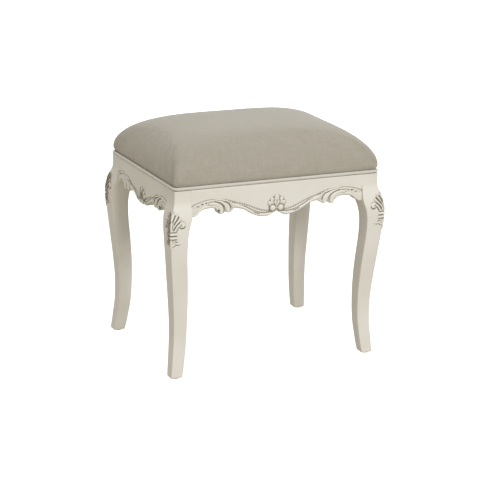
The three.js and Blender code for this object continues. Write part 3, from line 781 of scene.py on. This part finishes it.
def trim_foot(cushion):
    """Trims the cushion to its foot: a thin skirt behind the welt, around the seat board."""
    board = [reach("seat_board", 1, k) + GAP for k in (0, 1)]
    skirt = [half - SKIRT for half in COVER_HALF]
    clear = [half + 30 for half in COVER_HALF]
    lip, low = reach("welt", 1, 2) + 0.1, COVER_LOW + 0.3
    steps = ((clear, 30, low - 40), (clear, 30, lip), (skirt, 9, lip), (skirt, 9, low),
             (board, 10, low), (board, 10, BOARD_TOP + GAP))
    rings = [rounded_outline(*size, corner, z, 5, (1, 1)) for size, corner, z in steps]
    block = loft("trim", np.stack(rings))
    modify(cushion, "BOOLEAN", operation="DIFFERENCE", solver="MANIFOLD", object=block)
    bpy.data.objects.remove(block)


def lay_threads(cushion):
    """Gives each point its place on the cloth, so that the weave runs unbroken over the edges."""
    points = coordinates(cushion.data) / MM
    drop = np.clip(SHOULDER_TOP - points[:, 2] + CROWN * crown_at(points), 0, None)
    flat = [half + BULGE - SHOULDER for half in COVER_HALF]
    away = [np.clip(np.abs(points[:, k]) - flat[k], 0, None) for k in (0, 1)]
    total = np.maximum(away[0] + away[1], 1e-6)
    for key, k in (("weft", 0), ("warp", 1)):
        share = away[k] / total
        store(cushion.data, key, points[:, k] + np.sign(points[:, k]) * drop * share)


def add_cushion():
    cushion = loft("seat_cushion", cushion_rings())
    modify(cushion, "REMESH", mode="VOXEL", voxel_size=VOXEL * MM)
    modify(cushion, "SMOOTH", factor=0.5, iterations=2)
    blow_up(cushion)
    modify(cushion, "SUBSURF", levels=1, render_levels=1)
    tuck_foot(cushion)
    trim_foot(cushion)
    cushion.data.shade_smooth()
    cushion.data.set_sharp_from_angle(angle=math.radians(55))
    lay_threads(cushion)
    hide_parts("seat_cover", "seat_foam")
    return cushion


def add_welt():
    """The covered cord round the foot of the seat, with its join at the back."""
    low, high = reach("welt", 0, 2), reach("welt", 1, 2)
    radius = (high - low) / 2
    middle = [reach("welt", 1, k) - radius for k in (0, 1)]
    path = rounded_outline(*middle, 12, (low + high) / 2 + 0.4, 8, (200, 150))
    ahead = np.roll(path, -1, 0) - np.roll(path, 1, 0)
    out = np.column_stack([ahead[:, 1], -ahead[:, 0]]) / np.linalg.norm(ahead, axis=1, keepdims=True)
    run = np.cumsum(np.linalg.norm(np.diff(path, axis=0, append=path[:1]), axis=1))
    angles = np.linspace(0, 2 * math.pi, 16, endpoint=False)
    join = (path[:, 1] > 0) * np.exp(-((path[:, 0] - JOIN_AT) / JOIN_LENGTH) ** 2)
    wavy = 0.06 * np.sin(run / 23) + 0.05 * np.sin(run / 7.3)
    size = (radius - WELT_SLIM + wavy - JOIN_DEPTH * join)[:, None]
    rings = np.stack([np.hstack([path[:, :2] + out * size * math.cos(a),
                                 path[:, 2:] + size * math.sin(a)]) for a in angles], 1)
    welt = loft("welt_cord", rings, {
        "run": np.broadcast_to(run[:, None], rings.shape[:2]),
        "round": np.broadcast_to(angles * radius, rings.shape[:2])}, "loop")
    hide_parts("welt")
    return welt


# ---- under the seat ----
SHEET_SAG, SHEET_RIPPLE = 2.6, 0.35
SHEET_CELLS = (91, 67)
SHEET_SLIM = 0.02  # off each of its faces, to clear what it touches


def add_dust_cloth():
    """The black cloth stretched under the seat board, a little slack between its staples."""
    low, high = reach("dust_sheet", 0, 2), reach("dust_sheet", 1, 2)
    size = [reach("dust_sheet", 1, k) for k in (0, 1)]
    spots = [np.linspace(-size[k], size[k], SHEET_CELLS[k]) for k in (0, 1)]
    x, y = np.meshgrid(*spots, indexing="ij")
    open_x, open_y = (HALF[k] - RAIL_THICKNESS - 4 for k in (0, 1))
    inside = unit(1 - (y / open_y) ** 2)
    slack = unit(1 - (x / open_x) ** 2) * inside
    ripple = SHEET_RIPPLE * np.sin(x / 13 + y / 29) * inside**0.5
    sag = SHEET_SAG * slack**0.6 + ripple * slack
    under = np.stack([x, y, low + SHEET_SLIM - sag], -1)
    over = under + np.array((0, 0, high - low - 2 * SHEET_SLIM))
    cloth = loft("dust_cloth", np.hstack([under, over[:, ::-1]]), ends="strip")
    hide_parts("dust_sheet")
    return cloth


# ---- materials ----
class Wiring:
    """A short way to wire a node tree up to its shader."""

    def __init__(self, tree, shader):
        self.tree = tree
        self.surface = tree.nodes[shader]

    def node(self, kind, inputs=(), output=0, **settings):
        made = self.tree.nodes.new("ShaderNode" + kind)
        for key, value in settings.items():
            setattr(made, key, value)
        for key, value in dict(inputs).items():
            self.feed(made.inputs[key], value)
        return made.outputs[output]

    def feed(self, socket, value):
        if isinstance(value, bpy.types.NodeSocket):
            self.tree.links.new(value, socket)
        else:
            socket.default_value = value

    def set(self, **inputs):
        """Sets or links the shader's inputs; a name's _ stands for a space."""
        for key, value in inputs.items():
            self.feed(self.surface.inputs[key.replace("_", " ")], value)

    def math(self, operation, a, b=0.0):
        return self.node("Math", {0: a, 1: b}, operation=operation)

    def remap(self, value, low, high, to_low=0.0, to_high=1.0):
        return self.node("MapRange", {"Value": value, "From Min": low, "From Max": high,
                                      "To Min": to_low, "To Max": to_high})

    def mix(self, share, a, b):
        return self.node("Mix", {0: share, 6: a, 7: b}, output=2, data_type="RGBA")

    def place(self, scale=(1, 1, 1)):
        """Where a point lies on the object, in metres, stretched."""
        spot = self.node("TexCoord", output="Object")
        return self.node("Mapping", {"Vector": spot, "Scale": scale})

    def noise(self, vector, scale, detail=3.0, rough=0.5):
        inputs = {"Vector": vector, "Scale": scale, "Detail": detail, "Roughness": rough}
        return self.node("TexNoise", inputs)


class Finish(Wiring):
    """A material and the wiring of its nodes."""

    def __init__(self, name):
        self.material = bpy.data.materials.new(name)
        self.material.use_nodes = True
        super().__init__(self.material.node_tree, "Principled BSDF")

    def finish(self, colour, rough, *layers, **others):
        """Sets the surface, with its bumps: each is a height and its depth in metres."""
        normal = None
        for height, depth in layers:
            inputs = {"Height": height, "Distance": depth, "Strength": 1.0}
            if normal is not None:
                inputs["Normal"] = normal
            normal = self.node("Bump", inputs)
        self.set(Base_Color=colour, Roughness=rough, Normal=normal, **others)
        return self.material


def grey(value):
    return (value, value, value, 1)


CREAM = (0.82, 0.79, 0.72, 1)
CREAM_DEEP = (0.77, 0.74, 0.655, 1)
CREAM_WORN = (0.84, 0.82, 0.76, 1)
# Brown glaze, also laid on as painted shade.
GLAZE_AND_SHADE = (0.20, 0.17, 0.115, 1)


def painted(axis):
    """Cream paint brushed along an axis, with a brown glaze rubbed into the hollows and laid on as
    painted shade.
    """
    w = Finish(f"cream_paint_{'xyz'[axis]}")
    along = [260, 260, 260]
    along[axis] = 9
    streaks = w.noise(w.place(along), 3.0, 4, 0.65)
    clouds = w.noise(w.place(), 14, 3, 0.55)
    grit = w.noise(w.place(), 420, 3, 0.6)
    specks = w.node("TexVoronoi", {"Vector": w.place(), "Scale": 95.0}, output="Distance")
    colour = w.mix(w.remap(clouds, 0.35, 0.7), CREAM, CREAM_DEEP)
    colour = w.mix(w.remap(streaks, 0.52, 0.78, 0, 0.3), colour, CREAM_DEEP)
    proud = w.node("Attribute", output="Fac", attribute_name="proud")
    colour = w.mix(w.math("MULTIPLY", proud, w.remap(clouds, 0.3, 0.6, 0.25, 0.6)), colour, CREAM_WORN)
    # The sunk attribute holds the glaze in the hollows and also painted shade on leg sides, beside legs
    # and on short rails.
    sunk = w.node("Attribute", output="Fac", attribute_name="sunk")
    patchy = w.remap(grit, 0.3, 0.7, 0.75, 1.1)
    glaze_with_shade = w.math("MULTIPLY", w.remap(sunk, 0.12, 0.8), patchy)
    colour = w.mix(w.math("MINIMUM", glaze_with_shade, 0.9), colour, GLAZE_AND_SHADE)
    colour = w.mix(w.remap(specks, 0.045, 0.075, 0.4, 0), colour, GLAZE_AND_SHADE)
    rough = w.math("ADD", w.remap(streaks, 0.3, 0.8, 0.4, 0.52), w.math("MULTIPLY", sunk, 0.2))
    return w.finish(colour, rough, (streaks, 0.00016), (grit, 0.00003),
                    IOR=1.47, Coat_Weight=0.12, Coat_Roughness=0.35)


def weave(w, across, along, pitch):
    """Threads over and under each other: how high the cloth is, and how light each thread is."""
    turns = [w.math("MULTIPLY", value, math.pi / pitch) for value in (across, along)]
    waves = [w.math("SINE", turn) for turn in turns]
    over = w.math("MULTIPLY", *waves)
    ribs = w.math("ADD", w.math("ABSOLUTE", waves[0]), w.math("ABSOLUTE", waves[1]))
    height = w.math("ADD", w.math("MULTIPLY", over, 0.5), w.math("MULTIPLY", ribs, 0.35))
    threads = []
    for value, other, shift in ((across, along, 0.0), (along, across, 517.0)):
        number = w.math("FLOOR", w.math("DIVIDE", value, pitch))
        spot = w.node("CombineXYZ", {0: w.math("MULTIPLY", number, 7.31),
                                     1: w.math("DIVIDE", other, 26.0), 2: shift})
        threads.append(w.noise(spot, 1.0, 2, 0.5))
    slubs = w.node("Mix", {0: w.remap(over, -0.3, 0.3), 2: threads[0], 3: threads[1]},
                   data_type="FLOAT")
    return height, slubs


def linen(name, light, dark, across, along, pitch=0.95, bump=0.00022):
    """Plain woven linen with uneven threads, and painted shade where the weave dips."""
    w = Finish(name)
    spots = [w.node("Attribute", output="Fac", attribute_name=key) for key in (across, along)]
    height, slubs = weave(w, *spots, pitch)
    clouds = w.noise(w.place(), 22, 4, 0.6)
    fluff = w.noise(w.place(), 900, 2, 0.6)
    colour = w.mix(w.remap(slubs, 0.3, 0.72), dark, light)
    # Painted shade: the cloth darkens towards a deeper brown where its threads dip.
    between = (*(0.55 * c for c in dark[:3]), 1)
    colour = w.mix(w.remap(height, 0.35, -0.25, 0, 0.5), colour, between)
    colour = w.mix(w.remap(clouds, 0.3, 0.75, 0, 0.3), colour, dark)
    return w.finish(colour, w.remap(fluff, 0.3, 0.7, 0.82, 0.95),
                    (slubs, bump * 0.7), (height, bump), (fluff, 0.00005), Specular_IOR_Level=0.25,
                    Sheen_Weight=0.6, Sheen_Roughness=0.5, Sheen_Tint=(0.95, 0.92, 0.86, 1))


def bare_wood():
    """Planed beech with rings that run along it and short flecks."""
    w = Finish("bare_beech")
    bent = w.noise(w.place((6, 6, 30)), 2.0, 3)
    spot = w.node("VectorMath", {0: w.place((30, 30, 120)), 1: bent}, operation="ADD")
    rings = w.node("TexWave", {"Vector": spot, "Scale": 1.4, "Distortion": 3.5, "Detail": 3.0},
                   wave_type="RINGS")
    flecks = w.noise(w.place((90, 90, 900)), 2.0, 2)
    colour = w.mix(rings, (0.50, 0.34, 0.19, 1), (0.62, 0.45, 0.27, 1))
    colour = w.mix(w.remap(flecks, 0.58, 0.7, 0, 0.5), colour, (0.36, 0.23, 0.12, 1))
    return w.finish(colour, w.remap(rings, 0, 1, 0.6, 0.72), (rings, 0.0001), (flecks, 0.00008))


def plywood():
    """Birch plywood: a figured face, and thin layers that show at the edge."""
    w = Finish("birch_plywood")
    grain = w.noise(w.place((8, 160, 160)), 2.0, 5, 0.6)
    layers = w.node("TexWave", {"Vector": w.place((0, 0, 1)), "Scale": 115.0, "Distortion": 0.6},
                    bands_direction="Z")
    colour = w.mix(grain, (0.66, 0.50, 0.32, 1), (0.53, 0.37, 0.21, 1))
    colour = w.mix(w.remap(layers, 0.5, 0.6, 0, 0.45), colour, (0.38, 0.25, 0.13, 1))
    return w.finish(colour, w.remap(grain, 0, 1, 0.65, 0.8), (grain, 0.00008))


def dust_cloth():
    """Black felted cloth with tangled fibres."""
    w = Finish("black_cambric")
    fibres = w.noise(w.place((1, 5, 1)), 420, 5, 0.75)
    cross = w.noise(w.place((5, 1, 1)), 380, 5, 0.75)
    tangle = w.math("MAXIMUM", fibres, cross)
    dust = w.noise(w.place(), 26, 4, 0.6)
    colour = w.mix(w.remap(tangle, 0.45, 0.75), (0.011, 0.011, 0.011, 1), (0.045, 0.044, 0.042, 1))
    colour = w.mix(w.remap(dust, 0.5, 0.8, 0, 0.3), colour, (0.09, 0.085, 0.075, 1))
    return w.finish(colour, w.remap(tangle, 0.4, 0.8, 0.8, 0.95), (tangle, 0.00025))


def steel():
    """Zinc-plated steel with cloudy plating and fine scratches."""
    w = Finish("zinc_steel")
    bloom = w.node("TexVoronoi", {"Vector": w.place(), "Scale": 700.0}, output="Distance")
    scratches = w.noise(w.place((40, 900, 900)), 3.0, 3)
    colour = w.mix(bloom, (0.62, 0.60, 0.54, 1), (0.72, 0.71, 0.67, 1))
    return w.finish(colour, w.remap(scratches, 0.3, 0.7, 0.25, 0.45),
                    (scratches, 0.00002), (bloom, 0.00001), Metallic=1.0)


def nylon():
    """Off-white nylon, scuffed where it slides."""
    w = Finish("nylon_glide")
    scuffs = w.noise(w.place((300, 40, 300)), 4.0, 4, 0.7)
    dirt = w.noise(w.place(), 160, 3)
    colour = w.mix(w.remap(scuffs, 0.5, 0.75, 0, 0.55), (0.70, 0.67, 0.60, 1), (0.42, 0.39, 0.34, 1))
    colour = w.mix(w.remap(dirt, 0.55, 0.8, 0, 0.4), colour, (0.30, 0.27, 0.23, 1))
    return w.finish(colour, w.remap(scuffs, 0.3, 0.8, 0.38, 0.7), (scuffs, 0.00006),
                    Subsurface_Weight=0.05)


LINEN_LIGHT, LINEN_DARK = (0.498, 0.463, 0.393, 1), (0.382, 0.352, 0.288, 1)
WELT_LIGHT, WELT_DARK = (0.78, 0.75, 0.68, 1), (0.64, 0.61, 0.54, 1)


def paint(piece, material):
    """Gives a piece its one material."""
    if piece.data.materials:
        for slot in piece.material_slots:
            slot.material = material
    else:
        piece.data.materials.append(material)


def finish_cad_pieces():
    """Puts materials on the CAD nodes that stay."""
    by_name = {"corner_block": bare_wood(), "rail_screw": steel(), "seat_screw": steel(),
               "foot_glide": nylon(), "seat_board": plywood()}
    for name, node in frame["nodes"].items():
        for start, material in by_name.items():
            if name.startswith(start):
                paint(node, material)


# ---- studio ----
FLOOR_GLOW = 0.8
SKY_ABOVE, SKY_BELOW, SKY_BLEND = (0.70, 0.685, 0.66, 1), (0.44, 0.41, 0.34, 1), 0.4
KEY = {"place": (0.0, -3.6, 2.15), "target": (0, 0, 0.35), "size": 1.0, "power": 63,
       "colour": (0.94, 0.96, 1.0)}
CAMERA = {"place": (-1.6328, -3.4977, 1.363), "yaw": 25.3, "pitch": 16.62, "roll": 1.42, "lens": 132.83}


def add_camera():
    """The photograph's view: turned towards +X by yaw, tipped down by pitch, then rolled."""
    yaw, pitch, roll = (math.radians(CAMERA[key]) for key in ("yaw", "pitch", "roll"))
    ahead = Vector((math.sin(yaw) * math.cos(pitch), math.cos(yaw) * math.cos(pitch), -math.sin(pitch)))
    level = Vector((math.cos(yaw), -math.sin(yaw), 0))
    above = level.cross(ahead)
    right = math.cos(roll) * level + math.sin(roll) * above
    up = math.cos(roll) * above - math.sin(roll) * level
    data = bpy.data.cameras.new("camera")
    data.lens = CAMERA["lens"]
    camera = new_object("camera", data)
    turn = Matrix((right, up, -ahead)).transposed()
    camera.matrix_world = Matrix.Translation(CAMERA["place"]) @ turn.to_4x4()
    bpy.context.scene.camera = camera


def add_floor():
    """A white studio floor, wide enough to fill the view. It lights nothing but itself."""
    solid = bmesh.new()
    bmesh.ops.create_grid(solid, x_segments=12, y_segments=12, size=15)
    mesh = bpy.data.meshes.new("floor")
    solid.to_mesh(mesh)
    solid.free()
    floor = new_object("floor", mesh)
    floor.visible_diffuse = floor.visible_glossy = floor.visible_shadow = False
    w = Finish("studio_floor")
    mottle = w.noise(w.place(), 3, 2)
    w.set(Base_Color=w.mix(mottle, grey(0.93), grey(0.95)), Roughness=0.9)
    w.set(Emission_Color=grey(1), Emission_Strength=FLOOR_GLOW)
    floor.data.materials.append(w.material)
    floor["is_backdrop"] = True


def add_sky():
    """Even light, brighter from above than from below, behind a white backdrop."""
    world = bpy.data.worlds.new("studio")
    world.use_nodes = True
    w = Wiring(world.node_tree, "Background")
    height = w.node("SeparateXYZ", {0: w.node("TexCoord", output="Generated")}, output="Z")
    light = w.mix(w.remap(height, -SKY_BLEND, SKY_BLEND), SKY_BELOW, SKY_ABOVE)
    w.set(Color=w.mix(w.node("LightPath", output="Is Camera Ray"), light, grey(1)))
    bpy.context.scene.world = world


def light_studio():
    """The sky, and one large lamp before the front."""
    add_sky()
    bpy.context.scene.view_settings.view_transform = "Standard"
    data = bpy.data.lights.new("key", "AREA")
    data.size, data.energy, data.color = (KEY[key] for key in ("size", "power", "colour"))
    lamp = new_object("key", data)
    lamp.location = KEY["place"]
    aim = Vector(KEY["target"]) - Vector(KEY["place"])
    lamp.rotation_euler = aim.to_track_quat("-Z", "Y").to_euler()


# ---- making ----
def write_sizes():
    sizes = {"cad": cad_box, "visual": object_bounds()}
    plain = {key: [list(corner) for corner in box] for key, box in sizes.items()}


def main():
    add_camera()
    grains = [painted(axis) for axis in range(3)]
    for k, rail in enumerate(add_rails()):
        paint(rail, grains[k % 2])
    for leg in add_legs():
        paint(leg, grains[2])
    cushion, welt, cloth = add_cushion(), add_welt(), add_dust_cloth()
    paint(cushion, linen("seat_linen", LINEN_LIGHT, LINEN_DARK, "weft", "warp"))
    paint(welt, linen("welt_linen", WELT_LIGHT, WELT_DARK, "run", "round", 0.8, 0.00015))
    paint(cloth, dust_cloth())
    finish_cad_pieces()
    for piece in list(bpy.context.scene.objects):
        if piece.type == "MESH" and piece.parent is None:
            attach(piece, "root")
    add_floor()
    light_studio()
    write_sizes()


main()
